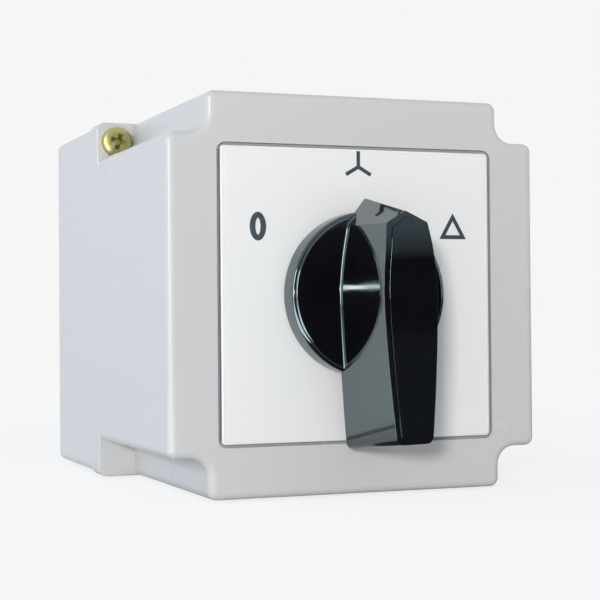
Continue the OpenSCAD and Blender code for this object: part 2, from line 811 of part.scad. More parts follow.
module shaft() {
    color(steel) on_wall() difference() {
        union() {
            square_bar(shaft_sq, stack_back, shaft_end);
            translate([0, 0, wheel_back + wheel_t])
                cylinder(h = legend_face - wheel_back - wheel_t, d = journal_d);
            translate([0, 0, end_back]) cylinder(h = end_t + cut, d = rear_journal_d);
        }
        translate([0, 0, well_floor - handle_screw_len - cut])
            cylinder(h = handle_screw_len + 2 * cut, r = handle_screw_d / 2 + thread_clear);
    }
}

module latch_housing() {
    slot_hw = slider_w / 2 + guide_clear;
    color(black_plastic) on_wall() translate([0, 0, latch_back]) difference() {
        translate([-half_body, -half_body]) cube([body_w, body_w, latch_t]);
        translate([0, 0, -cut]) cylinder(h = latch_pocket + cut, r = wheel_r + face_clear);
        translate([0, 0, -cut]) cylinder(h = latch_t + 2 * cut, r = journal_d / 2 + run_clear);
        both_sides() translate([0, -slot_hw, -cut]) cube([wall_inside, 2 * slot_hw, latch_pocket + cut]);
        at_square(mount_pitch) translate([0, 0, latch_t + legend_back - front_in - mount_screw_len - cut])
            cylinder(h = latch_t, r = mount_screw_d / 2 + thread_clear);
        at_ties() translate([0, 0, -cut]) cylinder(h = tie_grip + 2 * cut, r = tie_d / 2 + thread_clear);
    }
}

module latch_plate() {
    color(cream) on_wall() translate([0, 0, latch_plate_back]) difference() {
        translate([-half_body, -half_body]) cube([body_w, body_w, latch_plate_t]);
        translate([0, 0, -cut]) cylinder(h = latch_plate_t + 2 * cut, r = journal_d / 2);
        at_ties() translate([0, 0, -cut])
            cylinder(h = latch_plate_t + 2 * cut, r = tie_d / 2 + thread_clear);
    }
}

module detent_wheel() {
    color(cream) on_wall() difference() {
        translate([0, 0, wheel_back]) cylinder(h = wheel_t, r = wheel_r);
        for (k = [0:wheel_notches - 1])
            rotate(360 * k / wheel_notches)
                translate([wheel_r + wheel_notch_r / 4, 0, wheel_back - cut])
                    cylinder(h = wheel_t + 2 * cut, r = wheel_notch_r);
        square_bar(square_d, wheel_back - cut, wheel_back + wheel_t + cut);
    }
}

module detent_slider(side) {
    color(satin_metal) on_wall() rotate(side_turn(side)) translate([slider_start, 0, wheel_back]) {
        intersection() {
            translate([nose_r, 0]) cylinder(h = wheel_t, r = nose_r);
            translate([0, -nose_r]) cube([nose_r, 2 * nose_r, wheel_t]);
        }
        translate([nose_r, -slider_w / 2]) cube([slider_len - nose_r, slider_w, wheel_t]);
    }
}

module detent_spring(side) {
    color(steel) on_wall() rotate(side_turn(side)) translate([slider_end, 0, wheel_back + wheel_t / 2])
        rotate([0, 90, 0]) coil_spring(wall_inside - slider_end, detent_coil_r, detent_wire_d, detent_turns);
}

module chamber(n) {
    open_t = stage_t - web_t + cut;
    guide_hw = plunger_w / 2 + guide_clear;
    color(cream) on_wall() translate([0, 0, stage_back(n)]) difference() {
        translate([-half_body, -half_body]) cube([body_w, body_w, stage_t]);
        translate([0, 0, web_t]) cylinder(h = open_t, r = cam_r + follower_gap);
        translate([0, 0, -cut]) cylinder(h = stage_t, r = journal_d / 2);
        both_sides() {
            translate([0, -guide_hw, web_t]) cube([bridge_reach, 2 * guide_hw, open_t]);
            translate([strip_reach, -pocket_half, web_t])
                cube([wall_inside - strip_reach, 2 * pocket_half, open_t]);
            translate([strip_reach, -half_body - cut, web_t]) cube([strip_t, body_w + 2 * cut, open_t]);
            for (m = [0, 1])
                mirror([0, m, 0]) {
                    translate([strip_reach, terminal_start, web_t])
                        cube([half_body - strip_reach + cut, half_body - terminal_start + cut, open_t]);
                    translate([strip_reach - term_screw_len, term_reach, strip_mid]) rotate([0, 90, 0])
                        cylinder(h = term_screw_len + cut, r = term_screw_d / 2 + thread_clear);
                }
        }
        at_ties() translate([0, 0, -cut]) cylinder(h = stage_t + 2 * cut, r = tie_d / 2 + thread_clear);
    }
}

// Which handle positions close each contact, as from and to, in degrees clockwise from the star
contact_window = 14;
line_window = [-contact_window, throw + contact_window];
star_window = [-contact_window, contact_window];
delta_window = [throw - contact_window, throw + contact_window];
right_windows = [line_window, line_window, star_window, delta_window];
left_windows = [line_window, star_window, delta_window, delta_window];

function in_window(a, window) =
    let (d = (a - window[0] + 720) % 360) d <= window[1] - window[0];
function cam_radius(a, n) =
    in_window(a, right_windows[n - 1]) || in_window(a - 180, left_windows[n - 1]) ? cam_r - cam_notch : cam_r;

module cam(n) {
    back = stage_back(n) + cam_back;
    color(cam_red) on_wall() difference() {
        translate([0, 0, back]) linear_extrude(cam_t)
            polygon([for (a = [0:cam_step:360 - cam_step]) cam_radius(a, n) * [cos(a), sin(a)]]);
        square_bar(square_d, back - cut, back + cam_t + cut);
    }
}

module plunger(n, side) {
    half = plunger_w / 2;
    color(black_plastic) on_wall() rotate(side_turn(side))
        translate([plunger_start, 0, stage_back(n) + strip_mid - plunger_t / 2]) {
            intersection() {
                translate([half, 0]) cylinder(h = plunger_t, r = half);
                translate([0, -half]) cube([half, plunger_w, plunger_t]);
            }
            translate([half, -half]) cube([bridge_reach - plunger_start - half, plunger_w, plunger_t]);
            translate([bridge_reach - plunger_start - cut, 0, plunger_t / 2]) rotate([0, 90, 0])
                cylinder(h = cut + strip_t + peg_len, d = peg_d);
        }
}

module bridge(n, side) {
    color(copper) on_wall() rotate(side_turn(side)) translate([bridge_reach, 0, stage_back(n) + strip_mid])
        difference() {
            union() {
                translate([0, -bridge_half, -strip_w / 2]) cube([strip_t, 2 * bridge_half, strip_w]);
                for (y = [-contact_reach, contact_reach])
                    translate([-contact_t, y, 0]) rotate([0, 90, 0]) cylinder(h = contact_t + strip_t, d = contact_d);
            }
            translate([-cut, 0, 0]) rotate([0, 90, 0]) cylinder(h = strip_t + 2 * cut, r = peg_d / 2 + thread_clear);
        }
}

module contact_spring(n, side) {
    color(steel) on_wall() rotate(side_turn(side)) translate([bridge_back, 0, stage_back(n) + strip_mid])
        rotate([0, 90, 0]) coil_spring(wall_inside - bridge_back, contact_coil_r, contact_wire_d, contact_turns);
}

module fixed_contacts() {
    color(copper) on_wall()
        for (n = [1:stages])
            translate([0, 0, stage_back(n) + strip_mid]) both_sides()
                for (m = [0, 1])
                    mirror([0, m, 0]) fixed_contact();
}

// One strip with its tip, from beside the plunger out to the terminal
module fixed_contact() {
    difference() {
        union() {
            translate([strip_reach, strip_start, -strip_w / 2])
                cube([strip_t, strip_end - strip_start, strip_w]);
            translate([strip_reach, contact_reach, 0]) rotate([0, 90, 0])
                cylinder(h = strip_t + contact_t, d = contact_d);
        }
        translate([strip_reach - cut, term_reach, 0]) rotate([0, 90, 0])
            cylinder(h = strip_t + 2 * cut, r = term_screw_d / 2 + thread_clear);
    }
}

module terminal_screws() {
    color(steel) on_wall()
        for (n = [1:stages])
            translate([0, 0, stage_back(n) + strip_mid]) both_sides()
                for (y = [-term_reach, term_reach])
                    translate([strip_reach + strip_t, y, 0]) rotate([0, 90, 0])
                        pan_screw(term_screw_d, term_screw_len, term_head_d, term_head_h);
}

module end_plate() {
    color(cream) on_wall() translate([0, 0, end_back]) difference() {
        translate([-half_body, -half_body]) cube([body_w, body_w, end_t]);
        translate([0, 0, -cut]) cylinder(h = end_t + 2 * cut, r = rear_journal_d / 2 + run_clear);
        at_ties() translate([0, 0, -cut]) cylinder(h = end_t + 2 * cut, r = tie_d / 2 + thread_clear);
    }
}

module tie_bolts() {
    color(steel) on_wall() at_ties() translate([0, 0, end_back]) mirror([0, 0, 1])
        pan_screw(tie_d, latch_back - end_back + tie_grip, tie_head_d, tie_head_h);
}

base_box();
cover();
cover_gasket();
cover_screws();
thread_inserts();
earth_block();
earth_screws();
legend_plate();
legend_symbols();
shaft_seal();
mounting_screws();
handle();
handle_cap();
handle_screw();
shaft();
latch_housing();
latch_plate();
detent_wheel();
end_plate();
tie_bolts();
fixed_contacts();
terminal_screws();
for (side = SIDES) {
    detent_slider(side);
    detent_spring(side);
}
for (n = [1:stages]) {
    chamber(n);
    cam(n);
    for (side = SIDES) {
        plunger(n, side);
        bridge(n, side);
        contact_spring(n, side);
    }
}
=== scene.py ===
"""Looks of the enclosed star-delta cam switch: finishes, smooth mouldings, soft light and the camera."""

import json
from math import cos, pi, radians, sin

import bmesh
import bpy
from mathutils import Matrix, Vector


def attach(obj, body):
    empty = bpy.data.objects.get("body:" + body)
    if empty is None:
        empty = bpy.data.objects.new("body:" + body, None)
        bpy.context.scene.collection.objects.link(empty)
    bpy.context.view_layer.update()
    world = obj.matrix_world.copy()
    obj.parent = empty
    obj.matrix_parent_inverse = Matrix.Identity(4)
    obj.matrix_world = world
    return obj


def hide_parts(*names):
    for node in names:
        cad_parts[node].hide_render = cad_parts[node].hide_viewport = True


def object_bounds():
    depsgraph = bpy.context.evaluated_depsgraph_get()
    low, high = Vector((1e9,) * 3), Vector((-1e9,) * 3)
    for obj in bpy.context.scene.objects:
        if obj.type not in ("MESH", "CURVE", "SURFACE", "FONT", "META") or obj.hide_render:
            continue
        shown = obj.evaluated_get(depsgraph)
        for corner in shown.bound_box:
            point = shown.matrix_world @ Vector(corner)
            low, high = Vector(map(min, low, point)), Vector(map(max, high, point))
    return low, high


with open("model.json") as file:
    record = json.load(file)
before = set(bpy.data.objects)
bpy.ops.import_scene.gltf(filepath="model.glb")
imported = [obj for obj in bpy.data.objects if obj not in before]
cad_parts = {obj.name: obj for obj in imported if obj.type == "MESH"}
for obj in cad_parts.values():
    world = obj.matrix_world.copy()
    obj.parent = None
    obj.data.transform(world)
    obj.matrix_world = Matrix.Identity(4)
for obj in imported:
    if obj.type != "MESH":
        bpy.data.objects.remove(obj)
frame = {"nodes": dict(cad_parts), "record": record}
cad_size = [list(corner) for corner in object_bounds()]

# Pieces are drawn in millimetres as seen from the front: x right, y up, z the distance from the wall.
STAND_UP = Matrix.Rotation(radians(90), 4, "X") @ Matrix.Scale(0.001, 4)

HALF_CASE = 41.0
HALF_BASE = 40.6
SEAM = 36.5
FLANGE = 43.8
FRONT = 101.0
WALL = 2.6
FLOOR = 3.0
FRONT_IN = 97.5
NOTCH = 8.5
NOTCH_R = 4.0
TIP_R = 1.8
FRONT_R = 1.7
SCREW_AT = 36.4
LEGEND_HALF = 30.0
LEGEND_BACK = 100.2
LEGEND_FACE = 101.2
DISC_R = 16.8
DISC_BACK = 101.6
DISC_FACE = 107.2
LEVER_BACK = 105.6
LEVER_FACE = 126.4
LEVER_LEAN = 1.3
RIM_FACE = 126.15
CAP_RIM = 1.0
CAP_T = 1.5
SOCKET_END = 118.45
SCREW_SEAT = 120.85
WALL_SCREW_AT = 25.0
POST_W = 10.6
KNOCKOUT_AT = (17, 19.75)

# Reach of the tip and of the shoulders, half width there and at the bulge, reach of the grip, half width of
# its end, and the radius of its corners: at the lever's front, and at its base
LEVER_FRONT = (15.7, 13.4, 4.3, 5.6, 29.1, 3.9, 1.5)
LEVER_BASE = (19.6, 14.0, 4.6, 6.7, 31.2, 5.7, 1.5)


# Shader maths

class Wire:
    """A socket that takes part in a finish's maths."""

    def __init__(self, finish, socket):
        self.finish = finish
        self.socket = socket

    def worked(self, operation, first, second):
        return self.finish.node("Math", {"operation": operation}, {0: first, 1: second})

    def __add__(self, other):
        return self.worked("ADD", self, other)

    __radd__ = __add__

    def __sub__(self, other):
        return self.worked("SUBTRACT", self, other)

    def __rsub__(self, other):
        return self.worked("SUBTRACT", other, self)

    def __mul__(self, other):
        return self.worked("MULTIPLY", self, other)

    __rmul__ = __mul__


class Finish:
    """A material under construction. Every node comes from node()."""

    def __init__(self, name, tree=None):
        if tree is None:
            self.material = bpy.data.materials.new(name)
            self.material.use_nodes = True
            tree = self.material.node_tree
        self.tree = tree
        self.tree.nodes.clear()

    def node(self, kind, settings=None, sockets=None, out=0):
        made = self.tree.nodes.new("ShaderNode" + kind)
        for name, value in (settings or {}).items():
            if name == "stops":
                ramp = made.color_ramp
                while len(ramp.elements) < len(value):
                    ramp.elements.new(1.0)
                for element, (position, colour) in zip(ramp.elements, value):
                    element.position = position
                    element.color = colour
            else:
                setattr(made, name, value)
        for name, value in (sockets or {}).items():
            if isinstance(value, Wire):
                self.tree.links.new(value.socket, made.inputs[name])
            else:
                made.inputs[name].default_value = value
        return Wire(self, made.outputs[out]) if made.outputs else made

    def place(self):
        return self.node("TexCoord", out="Object")

    def apart(self, axis):
        return self.node("SeparateXYZ", {}, {0: self.place()}, out=axis)

    def square_reach(self):
        """Distance from the shaft, sideways or up and down, whichever is larger."""
        sides = [self.node("Math", {"operation": "ABSOLUTE"}, {0: self.apart(axis)}) for axis in "XZ"]
        return self.node("Math", {"operation": "MAXIMUM"}, {0: sides[0], 1: sides[1]})

    def ray(self, kind):
        return self.node("LightPath", out="Is " + kind + " Ray")

    def noise(self, scale, detail=2.0, roughness=0.5, where=None):
        where = where or self.place()
        sockets = {"Vector": where, "Scale": scale, "Detail": detail, "Roughness": roughness}
        return self.node("TexNoise", {}, sockets)

    def spread(self, value, low, high, to_low=0.0, to_high=1.0):
        return self.node("MapRange", {"clamp": True},
                         {"Value": value, 1: low, 2: high, 3: to_low, 4: to_high})

    def mixed(self, share, first, second):
        return self.node("Mix", {"data_type": "RGBA"}, {0: share, 6: first, 7: second}, out=2)

    def bump(self, height, strength, distance):
        return self.node("Bump", {}, {"Height": height, "Strength": strength, "Distance": distance})

    def shade(self, tone, rough, skin, fixed=None):
        sockets = {"Base Color": tone, "Roughness": rough, "Normal": skin}
        sockets.update(fixed or {})
        shader = self.node("BsdfPrincipled", {}, sockets)
        self.node("OutputMaterial", {}, {"Surface": shader})
        return self.material


def rgb(red, green, blue):
    """A colour as the eye reads it on screen, from 0 to 255, in the light units that shaders use."""
    parts = [c / 255 for c in (red, green, blue)]
    return tuple(c / 12.92 if c <= 0.04045 else ((c + 0.055) / 1.055) ** 2.4 for c in parts) + (1.0,)


def darker(colour, share):
    return tuple(c * share for c in colour[:3]) + (1.0,)


# Finishes

def satin_moulding(name, colour, gloss=0.27, grain=0.015):
    """Moulded plastic: spark-eroded skin, faint flow clouding, painted shade in the groove round the plate.
    """
    f = Finish(name)
    clouds = f.noise(9, 1) + f.noise(1500, 1) * 0.5
    skin = f.noise(2600, 3, 0.6)
    specks = f.spread(f.noise(900, 2), 0.62, 0.75)
    tone = f.mixed(f.spread(clouds, 0.3, 1.2), darker(colour, 0.993), darker(colour, 1.004))
    tone = f.mixed(specks * 0.05, tone, darker(colour, 0.82))
    # Painted shade: surfaces behind the front and within 30.7 mm of the shaft, the groove round the plate
    # among them, go 40 % of the way to a near-black tone.
    groove = f.spread(f.apart("Y"), -0.1009, -0.1004) * f.spread(f.square_reach(), 0.0308, 0.0307)
    tone = f.mixed(groove * 0.4, tone, darker(colour, 0.2))
    rough = f.spread(f.noise(60, 2), 0.1, 0.9, gloss - 0.01, gloss + 0.01)
    return f.shade(tone, rough, f.bump(skin, grain, 0.0002), {"Specular IOR Level": 0.45})


def gloss_moulding(name, colour):
    """Polished black thermoset: a mirror skin with hair scratches and faint waviness."""
    f = Finish(name)
    wave = f.noise(70, 1)
    along = {"Vector": f.place(), "Scale": (900, 900, 60), "Rotation": (0.2, 0.1, 0.3)}
    stretched = f.node("Mapping", {}, along)
    hairs = f.spread(f.noise(1.0, 2, where=stretched), 0.64, 0.72)
    dust = f.spread(f.noise(1400, 1), 0.7, 0.8)
    tone = f.mixed(dust * 0.25, colour, rgb(66, 70, 74))
    rough = f.spread(f.noise(110, 3), 0.35, 0.7, 0.035, 0.075) + hairs * 0.05
    return f.shade(tone, rough, f.bump(wave, 0.05, 0.0003),
                   {"IOR": 2.1, "Specular IOR Level": 0.5, "Specular Tint": (0.7, 0.93, 1.0, 1.0)})


def matt_moulding(name, colour, gloss=0.55):
    """Plain thermoset of the inner pieces, with pale filler specks."""
    f = Finish(name)
    filler = f.spread(f.noise(1100, 2), 0.6, 0.72)
    clouds = f.spread(f.noise(45, 3), 0.3, 0.7)
    tone = f.mixed(clouds, darker(colour, 0.9), darker(colour, 1.06))
    tone = f.mixed(filler * 0.2, tone, darker(colour, 1.35))
    rough = f.spread(f.noise(90, 2), 0.3, 0.7, gloss - 0.06, gloss + 0.08)
    return f.shade(tone, rough, f.bump(f.noise(1800, 2), 0.05, 0.0002))


def plated(name, colour, tint, gloss=0.28, metallic=1.0):
    """Plated metal with clouded passivation, a fine grain and small pits."""
    f = Finish(name)
    clouds = f.spread(f.noise(380, 3), 0.35, 0.65)
    pits = f.spread(f.noise(1600, 2), 0.66, 0.78)
    tone = f.mixed(clouds, colour, tint)
    tone = f.mixed(pits * 0.5, tone, darker(colour, 0.45))
    rough = f.spread(f.noise(700, 2), 0.3, 0.7, gloss - 0.07, gloss + 0.1) + pits * 0.15
    return f.shade(tone, rough, f.bump(f.noise(2200, 2), 0.12, 0.0001), {"Metallic": metallic})


def satin_plate(name):
    """Silver-white anodised sheet with a fine sparkle and painted shade on its edge."""
    f = Finish(name)
    grain = f.noise(5200, 2, 0.7)
    sparkle = f.spread(grain, 0.58, 0.74)
    clouds = f.spread(f.noise(14, 1), 0.1, 0.9)
    tone = f.mixed(clouds, rgb(243, 243, 241), rgb(248, 247, 243))
    tone = f.mixed(sparkle * 0.45, tone, rgb(254, 255, 255))
    # Painted shade: the plate's side faces and the outer rim of its bevel, beyond 29.85 mm from the shaft,
    # turn dark grey for the shadow in the gap round the plate.
    tone = f.mixed(f.spread(f.square_reach(), 0.02985, 0.02995), tone, rgb(120, 126, 132))
    rough = f.spread(grain, 0.35, 0.7, 0.5, 0.36)
    return f.shade(tone, rough, f.bump(grain, 0.1, 0.0001), {"Specular IOR Level": 0.5})


def printed_ink(name, colour):
    """Screen-printed ink, slightly thin in places."""
    f = Finish(name)
    thin = f.spread(f.noise(1500, 3), 0.5, 0.75)
    tone = f.mixed(thin * 0.3, colour, rgb(104, 118, 128))
    rough = f.spread(f.noise(800, 2), 0.3, 0.7, 0.45, 0.6)
    return f.shade(tone, rough, f.bump(f.noise(3000, 2), 0.08, 0.0001))


def seal_rubber(name):
    """Black rubber with a dusty bloom."""
    f = Finish(name)
    bloom = f.spread(f.noise(180, 4), 0.45, 0.75)
    tone = f.mixed(bloom * 0.4, rgb(24, 24, 25), rgb(58, 58, 58))
    rough = f.spread(f.noise(400, 2), 0.3, 0.7, 0.62, 0.8)
    return f.shade(tone, rough, f.bump(f.noise(1500, 2), 0.15, 0.0002))


FINISHES = {
    "shell_grey": satin_moulding("shell_grey", rgb(213, 212, 210)),
    "base_grey": satin_moulding("base_grey", rgb(213, 212, 210)),
    "black_gloss": gloss_moulding("black_gloss", rgb(11, 9, 14)),
    "inner_black": matt_moulding("inner_black", rgb(34, 34, 36)),
    "legend_metal": satin_plate("legend_metal"),
    "legend_ink": printed_ink("legend_ink", rgb(60, 72, 80)),
    "yellow_zinc": plated("yellow_zinc", rgb(192, 184, 112), rgb(176, 172, 128), 0.36, 0.85),
    "zinc_steel": plated("zinc_steel", rgb(196, 198, 202), rgb(178, 184, 196)),
    "brass": plated("brass", rgb(206, 174, 98), rgb(190, 152, 84), 0.24),
    "copper": plated("copper", rgb(206, 136, 100), rgb(188, 112, 78), 0.26),
    "cream_moulding": matt_moulding("cream_moulding", rgb(222, 212, 188)),
    "cam_red": matt_moulding("cam_red", rgb(146, 48, 38), 0.4),
    "rubber": seal_rubber("rubber"),
}


# Modelling

def ring_face(bm, outline, z):
    """One face from an outline's points."""
    return bm.faces.new([bm.verts.new((x, y, z)) for x, y in outline])


def raised(bm, face, height):
    """Extrudes a face into a block and returns the block's far face."""
    grown = bmesh.ops.extrude_face_region(bm, geom=[face])["geom"]
    verts = [g for g in grown if isinstance(g, bmesh.types.BMVert)]
    bmesh.ops.translate(bm, verts=verts, vec=(0, 0, height))
    return [g for g in grown if isinstance(g, bmesh.types.BMFace)][0]


def rounded(bm, edges, radius, steps=8):
    bmesh.ops.bevel(bm, geom=list(edges), offset=radius, offset_type="OFFSET", segments=steps,
                    profile=0.5, affect="EDGES", material=-1, clamp_overlap=True)


def upright(edge):
    """An edge that runs along z."""
    run = edge.verts[1].co - edge.verts[0].co
    return abs(run.z) > 0.9 * run.length


def rim_at(bm, z):
    """The edges that lie at one distance from the wall and bound a face across it."""
    return [e for e in bm.edges if all(abs(v.co.z - z) < 1e-4 for v in e.verts)
            and any(abs(f.normal.z) < 0.9 for f in e.link_faces)]


def square_block(half, low, high, corner, steps=8, half_y=None):
    """A square block with round corners."""
    tall = half_y or half
    bm = bmesh.new()
    face = ring_face(bm, [(-half, -tall), (half, -tall), (half, tall), (-half, tall)], low)
    raised(bm, face, high - low)
    bm.normal_update()
    if corner:
        rounded(bm, [e for e in bm.edges if upright(e)], corner, steps)
    bmesh.ops.recalc_face_normals(bm, faces=bm.faces)
    return bm


def cross_outline(inset):
    """The cover's outline from the front, without its roundings."""
    side = HALF_CASE - inset
    ledge = side - NOTCH
    corner = [(side, ledge), (ledge, ledge), (ledge, side)]
    return [(x * cos(a) - y * sin(a), x * sin(a) + y * cos(a))
            for a in (0, pi / 2, pi, 3 * pi / 2) for x, y in corner]


def cross_block(inset, low, high, tip, inner, front=0.0):
    """A block with the cover's notched outline. Its outer and inner corners get their own radius."""
    bm = bmesh.new()
    raised(bm, ring_face(bm, cross_outline(inset), low), high - low)
    bmesh.ops.recalc_face_normals(bm, faces=bm.faces)
    ledge = HALF_CASE - inset - NOTCH
    inner_edges = []
    tip_edges = []
    for edge in bm.edges:
        if upright(edge):
            spot = edge.verts[0].co
            is_inner = abs(abs(spot.x) - ledge) < 1e-4 and abs(abs(spot.y) - ledge) < 1e-4
            (inner_edges if is_inner else tip_edges).append(edge)
    rounded(bm, inner_edges, inner, 10)
    rounded(bm, [e for e in tip_edges if e.is_valid], tip, 8)
    if front:
        bm.normal_update()
        rounded(bm, rim_at(bm, high), front, 8)
    bmesh.ops.recalc_face_normals(bm, faces=bm.faces)
    return bm


def turned(profile, steps=96):
    """A piece turned about z from its radii and heights. Off the axis, the profile closes into a ring."""
    bm = bmesh.new()
    verts = [bm.verts.new((r, 0, z)) for r, z in profile]
    edges = [bm.edges.new(pair) for pair in zip(verts, verts[1:])]
    if profile[0][0] > 0 or profile[-1][0] > 0:
        edges.append(bm.edges.new((verts[-1], verts[0])))
    bmesh.ops.spin(bm, geom=verts + edges, cent=(0, 0, 0), axis=(0, 0, 1), angle=2 * pi, steps=steps,
                   use_merge=True)
    bmesh.ops.remove_doubles(bm, verts=bm.verts, dist=1e-4)
    bmesh.ops.recalc_face_normals(bm, faces=bm.faces)
    return bm


def pin(radius, low, high, steps=48, edge=0.0):
    """A round pin, with its edges broken where edge isn't zero."""
    if edge:
        return turned([(0, low), (radius - edge, low), (radius, low + edge), (radius, high - edge),
                       (radius - edge, high), (0, high)], steps)
    return turned([(0, low), (radius, low), (radius, high), (0, high)], steps)


def moved(bm, x=0.0, y=0.0, z=0.0, spin=0.0):
    """Turns a piece about z, then shifts it."""
    bmesh.ops.rotate(bm, verts=bm.verts, cent=(0, 0, 0), matrix=Matrix.Rotation(radians(spin), 3, "Z"))
    bmesh.ops.translate(bm, verts=bm.verts, vec=(x, y, z))
    return bm


def as_object(name, bm):
    mesh = bpy.data.meshes.new(name)
    bm.to_mesh(mesh)
    bm.free()
    piece = bpy.data.objects.new(name, mesh)
    bpy.context.scene.collection.objects.link(piece)
    return piece


def carved(bm, *tools, how="DIFFERENCE"):
    """Cuts the tools away from a piece, or joins them on."""
    for tool in tools:
        body = as_object("body", bm)
        cutter = as_object("cutter", tool)
        cut = body.modifiers.new("cut", "BOOLEAN")
        cut.operation = how
        cut.solver = "EXACT"
        cut.object = cutter
        bm = bmesh.new()
        bm.from_object(body, bpy.context.evaluated_depsgraph_get())
        for spent in (body, cutter):
            mesh = spent.data
            bpy.data.objects.remove(spent)
            bpy.data.meshes.remove(mesh)
    return bm


def joined(bm, *others):
    return carved(bm, *others, how="UNION")


def finished(name, bm, body, slot, replaces=(), crease=32):
    """Stands a piece up at its place, smooths it, gives it its finish and lets it ride on its body."""
    bmesh.ops.transform(bm, matrix=STAND_UP, verts=bm.verts)
    bmesh.ops.dissolve_degenerate(bm, dist=1e-7, edges=bm.edges)
    piece = as_object(name, bm)
    piece.data.materials.append(FINISHES[slot])
    piece.data.shade_smooth()
    piece.data.set_sharp_from_angle(angle=radians(crease))
    weighted = piece.modifiers.new("even_shading", "WEIGHTED_NORMAL")
    weighted.keep_sharp = True
    weighted.weight = 80
    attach(piece, body)
    if replaces:
        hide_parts(*replaces)
    return piece


# The two cover screws sit at the top left and the bottom right
COVER_SCREWS = [(-SCREW_AT, SCREW_AT), (SCREW_AT, -SCREW_AT)]


def make_cover():
    shell = cross_block(0.0, FLANGE - 2.0, FRONT, TIP_R, NOTCH_R, FRONT_R)
    flange = square_block(HALF_CASE, SEAM, FLANGE, 2.0)
    rounded(flange, rim_at(flange, FLANGE), 0.5, 4)
    rounded(flange, rim_at(flange, SEAM), 0.3, 3)
    shell = joined(flange, shell)
    hollow = cross_block(WALL, SEAM - 1.0, FRONT_IN, 0.3, NOTCH_R + WALL)
    recess = square_block(LEGEND_HALF + 0.6, LEGEND_BACK, FRONT + 1.0, 1.8)
    shell = carved(shell, hollow, recess, pin(7.0, FRONT_IN - 1.0, FRONT, 64))
    for x, y in COVER_SCREWS:
        shell = carved(shell, moved(pin(2.1, SEAM - 1.0, FLANGE + 1.0), x, y))
    sink = [(0, -4.0), (2.05, -4.0), (2.05, -2.0), (3.85, 0), (3.85, 0.5), (0, 0.5)]
    for x in (-18, 18):
        for y in (-18, 18):
            shell = carved(shell, moved(turned(sink, 48), x, y, LEGEND_BACK))
    finished("cover_shell", shell, "enclosure", "shell_grey", ["cover"])


def make_base():
    tray = square_block(HALF_BASE, 0.0, SEAM, 2.0)
    rounded(tray, rim_at(tray, 0.0), 0.6, 4)
    tray = carved(tray, square_block(HALF_BASE - WALL, FLOOR, SEAM + 1.0, 1.0))
    post = HALF_BASE - POST_W
    middle = (post + HALF_BASE - WALL / 2) / 2
    for x in (-middle, middle):
        for y in (-middle, middle):
            block = square_block(middle - post, FLOOR / 2, SEAM, 0.4, 3)
            tray = joined(tray, moved(block, x, y))
    for x in (-WALL_SCREW_AT, WALL_SCREW_AT):
        for y in (-WALL_SCREW_AT, WALL_SCREW_AT):
            tray = joined(tray, moved(pin(5.0, 1.0, 5.0, 48, 0.3), x, y))
            tray = carved(tray, moved(pin(2.3, -1.0, 6.0), x, y))
    for x, y in COVER_SCREWS:
        tray = carved(tray, moved(pin(3.0, SEAM - 9.0, SEAM + 1.0), x, y))
    groove = [(10.2, 0), (11.2, 0), (11.2, 3), (10.2, 3)]
    across, out = KNOCKOUT_AT
    for side in (0, 180):
        for x in (-across, across):
            ring = turned(groove, 72)
            bmesh.ops.rotate(ring, verts=ring.verts, matrix=Matrix.Rotation(radians(-90), 3, "X"))
            bmesh.ops.translate(ring, verts=ring.verts, vec=(x, HALF_BASE - 1.8, out))
            tray = carved(tray, moved(ring, spin=side))
    seat = carved(cross_block(0.9, SEAM - 1.2, SEAM + 1.0, TIP_R - 0.9, NOTCH_R + 0.9),
                  cross_block(2.1, SEAM - 2.0, SEAM + 2.0, 0.2, NOTCH_R + 2.1))
    tray = carved(tray, seat)
    finished("base_tray", tray, "enclosure", "base_grey", ["base_box"])


def cross_slot(width, depth):
    """A tapered cross, wide at z = 0 and narrow at the bottom."""
    tool = None
    for spin in (0, 90):
        wing = square_block(width / 2, -depth, 0.4, 0, half_y=width / 8)
        low = [v for v in wing.verts if v.co.z < 0]
        bmesh.ops.scale(wing, verts=low, vec=(0.35, 0.7, 1))
        moved(wing, spin=spin)
        tool = wing if tool is None else joined(tool, wing)
    return tool


def make_cover_screws():
    pair = None
    for x, y in COVER_SCREWS:
        crown = [(3.5 * cos(a), 1.2 + 1.4 * sin(a)) for a in [k * pi / 20 for k in range(11)]]
        head = turned([(0, -15), (1.6, -15), (2.0, -14.4), (2.0, 0), (3.35, 0), (3.5, 0.15)] + crown, 64)
        slot = moved(cross_slot(4.7, 1.9), z=2.6, spin=-15)
        head = moved(carved(head, slot), x, y, FLANGE)
        pair = head if pair is None else joined(pair, head)
    finished("cover_screw_pair", pair, "enclosure", "yellow_zinc", ["cover_screws"])


def make_legend_plate():
    plate = square_block(LEGEND_HALF, LEGEND_BACK, LEGEND_FACE - 0.2, 1.2)
    face = max(plate.faces, key=lambda f: f.calc_center_median().z)
    bmesh.ops.inset_region(plate, faces=[face], thickness=0.45, depth=0.2)
    face = max(plate.faces, key=lambda f: (round(f.calc_center_median().z, 3), f.calc_area()))
    bmesh.ops.inset_region(plate, faces=[face], thickness=0.35)
    bmesh.ops.inset_region(plate, faces=[face], thickness=0.12, depth=-0.05)
    bmesh.ops.inset_region(plate, faces=[face], thickness=0.12, depth=0.05)
    plate = carved(plate, pin(4.6, LEGEND_BACK - 1, LEGEND_FACE + 1, 64))
    finished("legend_face_plate", plate, "enclosure", "legend_metal", ["legend_plate"], crease=20)


